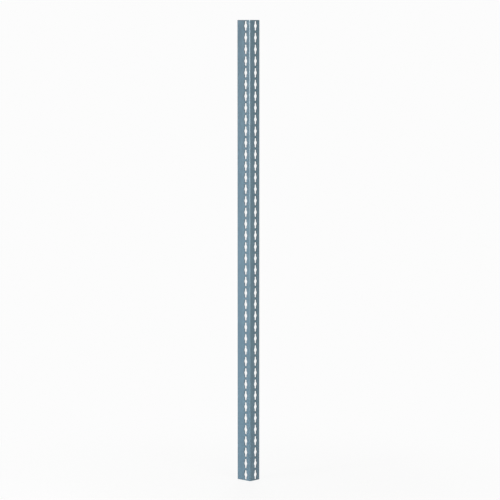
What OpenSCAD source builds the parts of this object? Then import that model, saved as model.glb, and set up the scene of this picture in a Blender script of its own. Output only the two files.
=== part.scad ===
// Slotted steel angle post for rivet shelving, stood on its foot.
// One piece of painted strip: punched with two rows of double-ended keyhole
// slots, rolled into an unequal angle and cut to length.
// Millimetres, +Z up the post. The origin is on the floor, at the middle of the
// post's outer box. The wide flange faces -Y, the narrow flange faces +X, and
// the outer corner between them stands at +X, -Y.

/* [Post] */
// Overall height, cut end to cut end
post_height = 1524; // [914.4:38.1:2438.4]
// Width of the wide flange, outer corner to free edge
wide_flange = 57.15; // [50:0.05:76]
// Width of the narrow flange, outer corner to free edge
narrow_flange = 44.45; // [38:0.05:60]
// Thickness of the steel strip
sheet_thickness = 1.9; // [1.2:0.05:3]
// Outside radius of the rolled corner
bend_radius = 5; // [3.2:0.05:6]
// Rounding on the long free edges of the strip
edge_radius = 0.4; // [0.1:0.05:0.55]

/* [Slots] */
// Distance from one slot's middle to the next
slot_pitch = 38.1; // [34:0.05:60]
// Length of a slot from end to end
slot_length = 31.75; // [24:0.05:33]
// Width of a slot's two narrow arms
slot_width = 7.14; // [5:0.02:9]
// Diameter of the round in the middle of a slot
round_diameter = 13.5; // [10:0.05:15]
// Height over a slot's middle where its taper runs out into the narrow arm
taper_reach = 7.75; // [7.6:0.05:10]
// Outer corner to the middle line of the slots in the wide flange
wide_slot_line = 20.65; // [16:0.05:36]
// Outer corner to the middle line of the slots in the narrow flange
narrow_slot_line = 26.2; // [16:0.05:29]

/* [Hidden] */
$fn = 64;

// Half the outer box, which the section is centred on
half_x = wide_flange / 2;
half_y = narrow_flange / 2;

// The strip has as many slots as whole pitches fit its height, centred on it
slot_count = floor(post_height / slot_pitch + 0.001);
first_slot = (post_height - (slot_count - 1) * slot_pitch) / 2;

// The taper leaves the middle round along its tangent
round_r = round_diameter / 2;
arm_r = slot_width / 2;
taper_angle = atan2(taper_reach, arm_r) - acos(round_r / norm([arm_r, taper_reach]));
taper_x = round_r * cos(taper_angle);
taper_y = round_r * sin(taper_angle);

// How far a punch runs past each face of the strip
punch_over = 1;

// Free edge of the strip, its rounded corners ending at y = 0
module strip_edge() {
    inset = sheet_thickness - edge_radius;
    translate([edge_radius, -edge_radius])
        square([sheet_thickness - 2 * edge_radius, edge_radius]);
    translate([edge_radius, -edge_radius])
        circle(r = edge_radius);
    translate([inset, -edge_radius])
        circle(r = edge_radius);
}

// One flange of the section, standing up from the end of the bend
module flange(width) {
    translate([0, bend_radius])
        square([sheet_thickness, width - bend_radius - edge_radius]);
    translate([0, width])
        strip_edge();
}

// Quarter ring of the rolled corner, its outer corner at the origin
module bend() {
    translate([bend_radius, bend_radius])
        intersection() {
            difference() {
                circle(r = bend_radius);
                circle(r = bend_radius - sheet_thickness);
            }
            translate([-bend_radius, -bend_radius])
                square(bend_radius);
        }
}

// Section of the rolled angle, with its outer corner at the origin, the
// narrow flange up +Y and the wide flange along +X
module section() {
    bend();
    flange(narrow_flange);
    mirror([1, -1])
        flange(wide_flange);
}

// Outline of one slot, upright and centred on the origin: a round in the
// middle that tapers into a narrow, round-ended arm above and below
module slot_outline() {
    arm_y = slot_length / 2 - arm_r;
    circle(r = round_r);
    polygon([
        [taper_x, taper_y],
        [arm_r, taper_reach],
        [-arm_r, taper_reach],
        [-taper_x, taper_y],
        [-taper_x, -taper_y],
        [-arm_r, -taper_reach],
        [arm_r, -taper_reach],
        [taper_x, -taper_y],
    ]);
    translate([-arm_r, -arm_y])
        square([slot_width, 2 * arm_y]);
    for (side = [-1, 1])
        translate([0, side * arm_y])
            circle(r = arm_r);
}

// A full row of punches that runs through a flange along Y
module slot_row() {
    for (i = [0 : slot_count - 1])
        translate([0, 0, first_slot + i * slot_pitch])
            rotate([90, 0, 0])
                linear_extrude(sheet_thickness + 2 * punch_over, center = true)
                    slot_outline();
}

module angle_post() {
    color([0.44, 0.55, 0.62])
        difference() {
            translate([half_x, -half_y, 0])
                mirror([1, 0, 0])
                    linear_extrude(post_height)
                        section();
            translate([half_x - wide_slot_line, -half_y + sheet_thickness / 2, 0])
                slot_row();
            translate([half_x - sheet_thickness / 2, -half_y + narrow_slot_line, 0])
                rotate([0, 0, 90])
                    slot_row();
        }
}

angle_post();
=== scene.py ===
"""A slotted steel angle post for rivet shelving, standing on its foot in a white studio.

The post is rebuilt here as one finished sheet: the punched rims are rolled over on the outside and
broken on the inside, the slit edges are round and the cut ends are eased. All sizes are in metres.
"""

import math

import bpy
import numpy as np
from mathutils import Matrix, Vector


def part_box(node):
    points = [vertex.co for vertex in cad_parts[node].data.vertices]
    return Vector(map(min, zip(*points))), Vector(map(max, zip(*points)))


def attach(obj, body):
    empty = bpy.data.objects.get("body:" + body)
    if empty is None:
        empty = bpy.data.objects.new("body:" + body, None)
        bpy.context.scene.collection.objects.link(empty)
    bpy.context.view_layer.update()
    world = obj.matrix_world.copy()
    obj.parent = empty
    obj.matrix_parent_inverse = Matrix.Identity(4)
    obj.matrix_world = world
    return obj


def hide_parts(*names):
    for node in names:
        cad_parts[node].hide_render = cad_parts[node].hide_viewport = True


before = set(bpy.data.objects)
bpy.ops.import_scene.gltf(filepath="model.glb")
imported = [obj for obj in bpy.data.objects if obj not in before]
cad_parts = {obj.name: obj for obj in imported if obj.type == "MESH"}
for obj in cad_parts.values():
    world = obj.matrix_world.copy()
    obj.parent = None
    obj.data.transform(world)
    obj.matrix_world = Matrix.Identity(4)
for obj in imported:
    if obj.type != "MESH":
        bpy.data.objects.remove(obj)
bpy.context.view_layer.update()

MM = 0.001

# The post's own box
low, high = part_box("angle_post")
HALF_X = (high.x - low.x) / 2
HALF_Y = (high.y - low.y) / 2
HEIGHT = high.z - low.z

# The strip that it is rolled from, and the rounding of its corner, its long slit edges and its cut ends
THICKNESS = 1.9 * MM
BEND_RADIUS = 5 * MM
SLIT_RADIUS = 0.4 * MM
END_RADIUS = 0.18 * MM

# One slot, a round with a tapered, round-ended arm above and below. TAPER_REACH is the height over its
# middle where the taper meets the arm, and ARM_END the height of the middle of the arm's round end.
PITCH = 38.1 * MM
SLOT_COUNT = round(HEIGHT / PITCH)
SLOT_LENGTH = 31.75 * MM
ARM_RADIUS = 3.57 * MM
ARM_END = SLOT_LENGTH / 2 - ARM_RADIUS
ROUND_RADIUS = 6.75 * MM
TAPER_REACH = 7.75 * MM
TAPER_EASE = 0.7 * MM

# Outer corner to each row's middle line, and half the width of the band that a row of slots takes up
WIDE_SLOT_LINE = 20.65 * MM
NARROW_SLOT_LINE = 26.2 * MM
HALF_BAND = 9 * MM

# The punch rolls the outside rim over and leaves the inside rim nearly sharp
ROLL_RADIUS = 0.42 * MM
BURR_RADIUS = 0.14 * MM

# The enamel is darker over this width from every cut edge, and at the rim by this share: partly thinner
# enamel, and round the slots and in their walls painted shade.
THIN_ENAMEL_AND_SHADE_BAND = 1.6 * MM
RIM_DARKENING = 0.85

# How many faces each curve gets, and how near two points are that count as one
ROUND_STEPS = 4
ARM_STEPS = 10
ROLL_STEPS = 4
BURR_STEPS = 2
SLIT_STEPS = 4
BEND_STEPS = 12
END_STEPS = 3
WELD = 0.002 * MM

# How bright the backdrop shows, where 1 is white, and the even light on everything else
BACKDROP = 0.973
AMBIENT = 0.3

# The floor throws FLOOR_WHITE of its light back at the post. To the camera it shows only FLOOR_SHADED of
# it, shadow and all, and glows by FLOOR_GLOW. It goes over into the backdrop from FLOOR_NEAR to FLOOR_FAR
# round the post, and ends at FLOOR_REACH.
FLOOR_WHITE = 0.8
FLOOR_SHADED = 0.15
FLOOR_GLOW = 0.87
FLOOR_NEAR = 0.35
FLOOR_FAR = 1.1
FLOOR_REACH = 60

# The photograph's camera, with its angles in degrees, its sensor in millimetres and its focal length
# in the photograph's own pixels. CAMERA_SIGHT is how far it sees, past the floor's furthest corner.
CAMERA_AZIMUTH = 43.41
CAMERA_YAW = -0.0414
CAMERA_PITCH = 5.912
CAMERA_DISTANCE = 7.09
CAMERA_HEIGHT = 1.503
CAMERA_SIGHT = 200
FOCAL_PIXELS = 2158.7
FRAME_PIXELS = 500
SENSOR_WIDTH = 36


def arc(centre, radius, start, stop, steps):
    """Points on an arc, by angle in degrees, both ends included."""
    angle = np.radians(np.linspace(start, stop, steps + 1))
    return np.stack([centre[0] + radius * np.cos(angle), centre[1] + radius * np.sin(angle)], axis=1)


def quarter_turn(steps):
    """Angles in radians from nothing to a right angle, both included."""
    return [math.radians(90 * step / steps) for step in range(steps + 1)]


def slot_side():
    """The right-hand edge of a slot, from its upper arm's round end down to the lower arm's."""
    corner = np.array([ARM_RADIUS, TAPER_REACH])
    lean = math.atan2(TAPER_REACH, ARM_RADIUS) - math.acos(ROUND_RADIUS / np.hypot(*corner))
    leave = ROUND_RADIUS * np.array([math.cos(lean), math.sin(lean)])
    along = (leave - corner) / np.hypot(*(leave - corner))
    before = corner + [0, TAPER_EASE]
    after = corner + along * TAPER_EASE
    middle = (before + 2 * corner + after) / 4
    taper = [[ARM_RADIUS, ARM_END], before, middle, after, (after + leave) / 2]
    upper = np.vstack([taper, arc((0, 0), ROUND_RADIUS, math.degrees(lean), 0, ROUND_STEPS)])
    lower = upper[-2::-1] * [1, -1]
    return np.vstack([upper, lower])


def side_levels(heights):
    """Heights on a slot's edge, stretched so that the arms' ends reach half a pitch."""
    stretch = (PITCH / 2 - TAPER_REACH) / (ARM_END - TAPER_REACH)
    size = np.abs(heights)
    grown = np.where(size > TAPER_REACH, TAPER_REACH + (size - TAPER_REACH) * stretch, size)
    return np.sign(heights) * grown


def slot_rim():
    """A slot's outline as one closed loop, and the point on its box that each point is joined to.

    The box is as high as the pitch and as wide as the slots' band. Both go clockwise from the top right.
    """
    right = slot_side()
    foot = arc((0, -ARM_END), ARM_RADIUS, 0, -180, ARM_STEPS)
    left = right[::-1] * [-1, 1]
    head = arc((0, ARM_END), ARM_RADIUS, 180, 0, ARM_STEPS)
    outline = np.vstack([right[:-1], foot[:-1], left[:-1], head[:-1]])
    levels = side_levels(right[:, 1])
    side = np.stack([np.full(len(levels), HALF_BAND), levels], axis=1)
    columns = np.linspace(1, -1, ARM_STEPS + 1) * HALF_BAND
    bottom = np.stack([columns, np.full(ARM_STEPS + 1, -PITCH / 2)], axis=1)
    box = np.vstack([side[:-1], bottom[:-1],
                     side[::-1][:-1] * [-1, 1], bottom[::-1][:-1] * [1, -1]])
    return outline, box


def outward(loop):
    """Unit normals of a closed clockwise loop, pointing away from what it encloses."""
    before = loop - np.roll(loop, 1, axis=0)
    after = np.roll(loop, -1, axis=0) - loop
    before /= np.hypot(*before.T)[:, None]
    after /= np.hypot(*after.T)[:, None]
    mean = before + after
    mean /= np.hypot(*mean.T)[:, None]
    return np.stack([-mean[:, 1], mean[:, 0]], axis=1)


class Skin:
    """Collects the sheet's points, normals and cut marks, and the faces between them."""

    def __init__(self):
        self.points = []
        self.normals = []
        self.cuts = []
        self.faces = []
        self.count = 0

    def band(self, points, normals, cuts, closed=False):
        """A grid of points, each row joined to the next, and each row closed on itself if asked."""
        rows, columns = points.shape[:2]
        index = self.count + np.arange(rows * columns).reshape(rows, columns)
        if closed:
            index = np.hstack([index, index[:, :1]])
        quads = np.stack([index[:-1, :-1], index[:-1, 1:], index[1:, 1:], index[1:, :-1]], axis=-1)
        self.points.append(points.reshape(-1, 3))
        self.normals.append(normals.reshape(-1, 3))
        self.cuts.append(np.broadcast_to(cuts, (rows, columns)).ravel())
        self.faces.append(quads.reshape(-1, 4))
        self.count += rows * columns

    def mesh(self, name):
        """Welds what meets, turns each face to its normals and makes the Blender mesh."""
        points = np.vstack(self.points)
        normals = np.vstack(self.normals)
        cuts = np.concatenate(self.cuts)
        faces = np.vstack(self.faces)
        keys = np.round(points / WELD).astype(np.int64)
        first, merged = np.unique(keys, axis=0, return_index=True, return_inverse=True)[1:]
        points, normals, cuts = points[first], normals[first], cuts[first]
        faces = merged.reshape(-1)[faces]
        facing = np.cross(points[faces[:, 2]] - points[faces[:, 0]],
                          points[faces[:, 3]] - points[faces[:, 1]])
        wrong = np.einsum("ij,ij->i", facing, normals[faces].sum(axis=1)) < 0
        faces[wrong] = faces[wrong, ::-1]
        rings = []
        for face in faces.tolist():
            ring = [corner for i, corner in enumerate(face) if corner != face[i - 1]]
            if len(ring) > 2:
                rings.append(ring)
        mesh = bpy.data.meshes.new(name)
        mesh.from_pydata(points.tolist(), [], rings)
        mesh.update()
        mesh.polygons.foreach_set("use_smooth", [True] * len(mesh.polygons))
        length = np.linalg.norm(normals, axis=1)
        mesh.normals_split_custom_set_from_vertices((normals / length[:, None]).tolist())
        mark = mesh.attributes.new("cut", "FLOAT", "POINT")
        mark.data.foreach_set("value", cuts.astype(np.float32))
        return mesh


class Flange:
    """One side of the angle: how far across, how high and how deep, turned into the post's frame."""

    def __init__(self, across, outside, width, slot_line):
        self.across = np.array(across, float)
        self.outside = np.array(outside, float)
        self.corner = np.array([HALF_X, -HALF_Y, 0.0])
        self.slot_line = slot_line
        self.near = BEND_RADIUS - slot_line
        self.far = width - SLIT_RADIUS - slot_line

    def place(self, across, height, depth):
        """Points at these distances from the slots' middle line, on or under the outer face."""
        across, height, depth = np.broadcast_arrays(across, height, depth)
        flat = self.corner + (self.slot_line + across)[..., None] * self.across
        flat = flat - depth[..., None] * self.outside
        flat[..., 2] = np.clip(height, END_RADIUS, HEIGHT - END_RADIUS)
        return flat

    def turn(self, across, height, depth):
        """Directions, as place turns points."""
        across, height, depth = np.broadcast_arrays(across, height, depth)
        way = across[..., None] * self.across - depth[..., None] * self.outside
        way[..., 2] = height
        return way


def punched_slot():
    """One slot's rings, from its box on the outer face, through the wall, to its box inside.

    Returns points and normals across the face, the depth of each ring, how far its normals point
    into the sheet, and its cut mark.
    """
    outline, box = slot_rim()
    away = outward(outline)
    rings = []

    def face_ring(points, depth, into):
        rings.append((points, np.zeros_like(away), depth, into, 0.0))

    def rim_ring(turn, radius, depth, into):
        offset = radius * (1 - math.sin(turn))
        mark = RIM_DARKENING + (1 - RIM_DARKENING) * math.sin(turn)
        rings.append((outline + away * offset, -away * math.sin(turn), depth, into, mark))

    # From the second ring to the rim the darkening grows to its rim share, and over the rim to full in
    # the wall: painted shade round the slot and in its wall, with thinner enamel at the rim.
    face_ring(box, 0.0, -1.0)
    face_ring(outline + away * (ROLL_RADIUS + THIN_ENAMEL_AND_SHADE_BAND), 0.0, -1.0)
    for turn in quarter_turn(ROLL_STEPS):
        rim_ring(turn, ROLL_RADIUS, ROLL_RADIUS * (1 - math.cos(turn)), -math.cos(turn))
    for turn in reversed(quarter_turn(BURR_STEPS)):
        rim_ring(turn, BURR_RADIUS, THICKNESS - BURR_RADIUS * (1 - math.cos(turn)), math.cos(turn))
    face_ring(outline + away * (BURR_RADIUS + THIN_ENAMEL_AND_SHADE_BAND), THICKNESS, 1.0)
    face_ring(box, THICKNESS, 1.0)

    flat, way = (np.stack([ring[i] for ring in rings]) for i in (0, 1))
    depth, into, mark = (np.array([ring[i] for ring in rings])[:, None] for i in (2, 3, 4))
    return flat, way, depth, into, mark


def section_runs(wide, narrow):
    """The section's outline in plan, as runs that start at the wide flange's free edge.

    They go round over the outside and come back by the same steps on the inside. Each run is
    (points, normals, marks, swept). A run that isn't swept is the slots' own band.
    """
    runs = []

    def face(flange, start, stop, depth, steps=1, swept=True):
        across = np.linspace(start, stop, steps + 1)
        sign = 1 if depth == 0 else -1
        points = flange.place(across, 0.0, depth)[:, :2]
        marks = RIM_DARKENING * (across > flange.far - WELD)
        runs.append((points, np.tile(sign * flange.outside[:2], (steps + 1, 1)), marks, swept))

    def round_off(centre, radius, start, stop, steps, sign=1, mark=0.0):
        points = arc(centre, radius, start, stop, steps)
        runs.append((points, sign * (points - centre) / radius, np.full(steps + 1, mark), True))

    def slit_edge(flange, start, stop):
        points = np.array([start, stop])
        runs.append((points, np.tile(flange.across[:2], (2, 1)), np.full(2, RIM_DARKENING), True))

    bend = np.array([HALF_X - BEND_RADIUS, -HALF_Y + BEND_RADIUS])
    wide_outer = np.array([-HALF_X + SLIT_RADIUS, -HALF_Y + SLIT_RADIUS])
    wide_inner = np.array([-HALF_X + SLIT_RADIUS, -HALF_Y + THICKNESS - SLIT_RADIUS])
    narrow_outer = np.array([HALF_X - SLIT_RADIUS, HALF_Y - SLIT_RADIUS])
    narrow_inner = np.array([HALF_X - THICKNESS + SLIT_RADIUS, HALF_Y - SLIT_RADIUS])

    round_off(wide_outer, SLIT_RADIUS, 180, 270, SLIT_STEPS, mark=RIM_DARKENING)
    face(wide, wide.far, wide.far - THIN_ENAMEL_AND_SHADE_BAND, 0)
    face(wide, wide.far - THIN_ENAMEL_AND_SHADE_BAND, HALF_BAND, 0)
    face(wide, HALF_BAND, -HALF_BAND, 0, ARM_STEPS, swept=False)
    face(wide, -HALF_BAND, wide.near, 0)
    round_off(bend, BEND_RADIUS, -90, 0, BEND_STEPS)
    face(narrow, narrow.near, -HALF_BAND, 0)
    face(narrow, -HALF_BAND, HALF_BAND, 0, ARM_STEPS, swept=False)
    face(narrow, HALF_BAND, narrow.far - THIN_ENAMEL_AND_SHADE_BAND, 0)
    face(narrow, narrow.far - THIN_ENAMEL_AND_SHADE_BAND, narrow.far, 0)
    round_off(narrow_outer, SLIT_RADIUS, 0, 90, SLIT_STEPS, mark=RIM_DARKENING)
    slit_edge(narrow, narrow_outer + [0, SLIT_RADIUS], narrow_inner + [0, SLIT_RADIUS])
    round_off(narrow_inner, SLIT_RADIUS, 90, 180, SLIT_STEPS, mark=RIM_DARKENING)
    face(narrow, narrow.far, narrow.far - THIN_ENAMEL_AND_SHADE_BAND, THICKNESS)
    face(narrow, narrow.far - THIN_ENAMEL_AND_SHADE_BAND, HALF_BAND, THICKNESS)
    face(narrow, HALF_BAND, -HALF_BAND, THICKNESS, ARM_STEPS, swept=False)
    face(narrow, -HALF_BAND, narrow.near, THICKNESS)
    round_off(bend, BEND_RADIUS - THICKNESS, 0, -90, BEND_STEPS, sign=-1)
    face(wide, wide.near, -HALF_BAND, THICKNESS)
    face(wide, -HALF_BAND, HALF_BAND, THICKNESS, ARM_STEPS, swept=False)
    face(wide, HALF_BAND, wide.far - THIN_ENAMEL_AND_SHADE_BAND, THICKNESS)
    face(wide, wide.far - THIN_ENAMEL_AND_SHADE_BAND, wide.far, THICKNESS)
    round_off(wide_inner, SLIT_RADIUS, 90, 180, SLIT_STEPS, mark=RIM_DARKENING)
    slit_edge(wide, wide_inner - [SLIT_RADIUS, 0], wide_outer - [SLIT_RADIUS, 0])
    return runs


def joined(runs):
    """The runs as one closed loop of points, normals and marks, each shared point once."""
    points, normals, marks = (np.concatenate([run[i] for run in runs]) for i in range(3))
    apart = np.linalg.norm(points - np.roll(points, -1, axis=0), axis=1) > WELD
    return points[apart], normals[apart], marks[apart]


def lifted(plan, height):
    """Points or directions in plan, all with this third part."""
    return np.hstack([plan, np.full((len(plan), 1), height)])


def angle_sheet():
    """The whole post as one closed, punched and rolled sheet."""
    wide = Flange([-1, 0, 0], [0, -1, 0], 2 * HALF_X, WIDE_SLOT_LINE)
    narrow = Flange([0, 1, 0], [1, 0, 0], 2 * HALF_Y, NARROW_SLOT_LINE)
    skin = Skin()
    middles = (np.arange(SLOT_COUNT) + 0.5) * PITCH

    flat, way, depth, into, mark = punched_slot()
    for flange in (wide, narrow):
        for middle in middles:
            points = flange.place(flat[..., 0], middle + flat[..., 1], depth)
            skin.band(points, flange.turn(way[..., 0], way[..., 1], into), mark, closed=True)

    levels = side_levels(slot_side()[:, 1])[::-1]
    heights = np.concatenate([[0.0]] + [middle + levels[1:] for middle in middles])
    heights = np.clip(heights, END_RADIUS, HEIGHT - END_RADIUS)
    runs = section_runs(wide, narrow)
    for points, normals, marks, swept in runs:
        if swept:
            grid = np.stack([lifted(points, height) for height in heights])
            skin.band(grid, np.stack([lifted(normals, 0.0)] * len(heights)), marks)

    for level, sign in ((0.0, -1.0), (HEIGHT, 1.0)):
        cut_end(skin, runs, level, sign)
    return skin.mesh("post_sheet")


def cut_end(skin, runs, level, sign):
    """Eases a cut end and closes it: the ring's outer half is joined across to its inner half."""
    loop, ways, faded = joined(runs)
    rings = []
    normals = []
    marks = []
    for turn in quarter_turn(END_STEPS):
        inset = END_RADIUS * (1 - math.cos(turn))
        rise = level - sign * END_RADIUS * (1 - math.sin(turn))
        rings.append(lifted(loop - ways * inset, rise))
        normals.append(lifted(ways * math.cos(turn), sign * math.sin(turn)))
        marks.append(np.maximum(faded, RIM_DARKENING * math.sin(turn)))
    skin.band(np.stack(rings), np.stack(normals), np.stack(marks), closed=True)
    half = len(loop) // 2
    pair = np.stack([rings[-1][:half], rings[-1][half:][::-1]])
    skin.band(pair, np.broadcast_to([0.0, 0.0, sign], pair.shape), 1.0)


class Socket:
    """One value in a shader, so that sums and products can be written as Python."""

    def __init__(self, shader, link):
        self.shader = shader
        self.link = link

    def maths(self, operation, *values):
        return self.shader.node("ShaderNodeMath", {"operation": operation}, dict(enumerate(values)))

    def __add__(self, other):
        return self.maths("ADD", self, other)

    def __radd__(self, other):
        return self.maths("ADD", other, self)

    def __sub__(self, other):
        return self.maths("SUBTRACT", self, other)

    def __rsub__(self, other):
        return self.maths("SUBTRACT", other, self)

    def __mul__(self, other):
        return self.maths("MULTIPLY", self, other)

    def __rmul__(self, other):
        return self.maths("MULTIPLY", other, self)

    def larger(self, other):
        return self.maths("MAXIMUM", self, other)

    def smaller(self, other):
        return self.maths("MINIMUM", self, other)


class Shader:
    """A material's or the world's nodes, made one call at a time."""

    def __init__(self, owner):
        owner.use_nodes = True
        self.tree = owner.node_tree
        self.tree.nodes.clear()

    def node(self, kind, settings=None, inputs=None, output=0):
        """Makes a node: its settings first, then the values or links of its sockets."""
        made = self.tree.nodes.new(kind)
        for name, value in (settings or {}).items():
            setattr(made, name, value)
        for name, value in (inputs or {}).items():
            if isinstance(value, Socket):
                self.tree.links.new(value.link, made.inputs[name])
            else:
                made.inputs[name].default_value = value
        return Socket(self, made.outputs[output]) if made.outputs else None

    def mix(self, share, first, second):
        """A colour between two colours."""
        colours = {0: share, 6: first, 7: second}
        return self.node("ShaderNodeMix", {"data_type": "RGBA"}, colours, output=2)


def colour(red, green, blue):
    """A colour given as it looks on a screen, 0 to 255, as a shader wants it."""
    def linear(value):
        value /= 255
        return value / 12.92 if value <= 0.04045 else ((value + 0.055) / 1.055) ** 2.4
    return (linear(red), linear(green), linear(blue), 1)


def grey(level):
    """A shader's grey, where 1 is white."""
    return (level, level, level, 1)


def baked_enamel():
    """Blue-grey baked enamel over rolled steel, darker where it was punched, slit or sheared: partly
    thinner enamel, partly painted shade in and round the slots.
    """
    material = bpy.data.materials.new("baked_enamel")
    shader = Shader(material)
    place = shader.node("ShaderNodeTexCoord", output="Object")

    def noise(scale, detail, roughness, stretch=(1, 1, 1)):
        at = shader.node("ShaderNodeMapping", inputs={"Vector": place, "Scale": stretch})
        return shader.node("ShaderNodeTexNoise", inputs={
            "Vector": at, "Scale": scale, "Detail": detail, "Roughness": roughness})

    cloud = noise(scale=9, detail=3, roughness=0.55, stretch=(1, 1, 0.35))
    blotch = noise(scale=34, detail=3, roughness=0.6, stretch=(1, 1, 0.6))
    mottle = noise(scale=130, detail=3, roughness=0.6)
    rolled = noise(scale=900, detail=2, roughness=0.6, stretch=(1, 1, 0.015))
    peel = noise(scale=520, detail=2, roughness=0.5)
    grain = noise(scale=2600, detail=2, roughness=0.6)

    punched = shader.node("ShaderNodeAttribute", {"attribute_name": "cut"}, output="Fac")
    height = shader.node("ShaderNodeSeparateXYZ", inputs={"Vector": place}, output="Z")
    sheared = shader.node("ShaderNodeMapRange", inputs={
        "Value": height.smaller(HEIGHT - height),
        "From Max": THIN_ENAMEL_AND_SHADE_BAND, "To Min": RIM_DARKENING, "To Max": 0})
    cut = punched.larger(sheared)

    pale = colour(132, 163, 182)
    deep = colour(76, 107, 128)
    # The cut mark mixes in this darkest colour: thinner enamel at the cut edges, and painted shade in the
    # slot walls and in a band round each slot.
    thin_enamel_and_shade = colour(24, 46, 46)
    body = shader.mix(cloud * 0.3 + blotch * 0.37 + mottle * 0.2 + rolled * 0.13, deep, pale)
    paint = shader.mix(cut * (0.55 + 0.45 * mottle), body, thin_enamel_and_shade)

    rough = 0.24 + 0.08 * mottle + 0.06 * grain + 0.08 * rolled + 0.3 * cut
    relief = peel * 0.7 + rolled * 0.2 + grain * 0.1
    bump = shader.node("ShaderNodeBump", inputs={
        "Height": relief, "Strength": 0.3, "Distance": 0.15 * MM})
    surface = shader.node("ShaderNodeBsdfPrincipled", inputs={
        "Base Color": paint, "Roughness": rough, "Normal": bump, "Specular IOR Level": 0.45})
    shader.node("ShaderNodeOutputMaterial", inputs={"Surface": surface})
    return material


def seen_or_mirrored(shader):
    """1 for what the camera sees, straight or in a mirror or glass, and 0 for other light."""
    straight, mirrored, through = (
        shader.node("ShaderNodeLightPath", output=name)
        for name in ("Is Camera Ray", "Is Glossy Ray", "Is Transmission Ray"))
    return straight.larger(mirrored).larger(through)


def pale_floor():
    """A white floor that keeps the post's shadow and goes over into the backdrop further out."""
    material = bpy.data.materials.new("pale_floor")
    shader = Shader(material)
    place = shader.node("ShaderNodeNewGeometry", output=0)
    reach = shader.node("ShaderNodeVectorMath", {"operation": "LENGTH"}, {0: place}, output=1)
    far = shader.node("ShaderNodeMapRange", {"interpolation_type": "SMOOTHSTEP"}, {
        "Value": reach, "From Min": FLOOR_NEAR, "From Max": FLOOR_FAR})
    plain = shader.node("ShaderNodeBsdfDiffuse", inputs={"Color": grey(FLOOR_WHITE)})
    shaded = shader.node("ShaderNodeBsdfDiffuse", inputs={"Color": grey(FLOOR_SHADED)})
    glow = shader.node("ShaderNodeEmission", inputs={"Color": grey(1), "Strength": FLOOR_GLOW})
    near = shader.node("ShaderNodeAddShader", inputs={0: shaded, 1: glow})
    white = shader.node("ShaderNodeEmission", inputs={"Color": grey(1), "Strength": BACKDROP})
    shown = shader.node("ShaderNodeMixShader", inputs={0: far, 1: near, 2: white})
    seen = seen_or_mirrored(shader)
    surface = shader.node("ShaderNodeMixShader", inputs={0: seen, 1: plain, 2: shown})
    shader.node("ShaderNodeOutputMaterial", inputs={"Surface": surface})
    return material


def studio_world():
    """White to the camera and to mirrors, and a dimmer even light on everything else."""
    world = bpy.data.worlds.new("studio")
    bpy.context.scene.world = world
    shader = Shader(world)
    seen = seen_or_mirrored(shader)
    strength = seen * BACKDROP + (1 - seen) * AMBIENT
    light = shader.node("ShaderNodeBackground", inputs={"Color": grey(1), "Strength": strength})
    shader.node("ShaderNodeOutputWorld", inputs={"Surface": light})


def placed(name, data):
    """A new object in the scene for this mesh, lamp or lens."""
    thing = bpy.data.objects.new(name, data)
    bpy.context.scene.collection.objects.link(thing)
    return thing


def round_the_post(azimuth, distance, height):
    """A point in the studio. Azimuth 0 is straight in front of the wide flange, 90 of the narrow one."""
    turn = math.radians(azimuth)
    return (math.sin(turn) * distance, -math.cos(turn) * distance, height)


def soft_lamp(name, azimuth, distance, height, size, power, target, tint=(1, 1, 1)):
    """A rectangular softbox, turned to the post at the height of its target."""
    light = bpy.data.lights.new(name, "AREA")
    light.shape = "RECTANGLE"
    light.size, light.size_y = size
    light.energy = power
    light.color = tint
    lamp = placed(name, light)
    lamp.location = round_the_post(azimuth, distance, height)
    way = np.array([0, 0, target]) - np.array(lamp.location)
    level = math.hypot(way[0], way[1])
    lamp.rotation_euler = (math.atan2(level, -way[2]), 0, math.atan2(-way[0], way[1]))
    return lamp


def studio_camera():
    """The photograph's view of the outer corner, from far off and level with the post's top."""
    lens = bpy.data.cameras.new("camera")
    lens.sensor_width = SENSOR_WIDTH
    lens.lens = FOCAL_PIXELS * SENSOR_WIDTH / FRAME_PIXELS
    lens.clip_end = CAMERA_SIGHT
    camera = placed("camera", lens)
    camera.location = round_the_post(CAMERA_AZIMUTH, CAMERA_DISTANCE, CAMERA_HEIGHT)
    turn = math.radians(CAMERA_AZIMUTH + CAMERA_YAW)
    camera.rotation_euler = (math.radians(90 - CAMERA_PITCH), 0, turn)
    bpy.context.scene.camera = camera


# The post
post = placed("post_sheet", angle_sheet())
post.data.materials.append(baked_enamel())
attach(post, "root")
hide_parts("angle_post")

# The floor and the backdrop
floor_mesh = bpy.data.meshes.new("floor")
floor_corners = [(x * FLOOR_REACH, y * FLOOR_REACH, 0) for x, y in ((-1, -1), (1, -1), (1, 1), (-1, 1))]
floor_mesh.from_pydata(floor_corners, [], [(0, 1, 2, 3)])
floor = placed("floor", floor_mesh)
floor.data.materials.append(pale_floor())
studio_world()

# The softboxes. The two glints show only in the enamel's gloss, where they make the highlight along the
# corner, and the low fill only in its plain colour, where it brightens the foot.
soft_lamp("key", azimuth=-14, distance=3.0, height=1.2, size=(0.5, 0.95), power=13.5, target=0.95,
          tint=(0.95, 0.99, 1))
for name, azimuth, power in (("glint_left", -14, 80), ("glint_right", 18, 131)):
    glint = soft_lamp(name, azimuth, distance=3.02, height=1.4, size=(0.5, 0.6), power=power, target=1.0,
                      tint=(0.88, 0.97, 1))
    glint.visible_diffuse = False
low_fill = soft_lamp("low_fill", azimuth=-14, distance=1.7, height=0.25, size=(1.0, 0.5), power=10.4,
                     target=0.25)
low_fill.visible_glossy = False
soft_lamp("side", azimuth=74, distance=3.0, height=0.9, size=(1.4, 1.8), power=27, target=0.7,
          tint=(1, 0.96, 0.82))
soft_lamp("back", azimuth=222, distance=3.5, height=1.3, size=(1.6, 1.6), power=62, target=0.7)
studio_camera()
bpy.context.scene.view_settings.view_transform = "Standard"
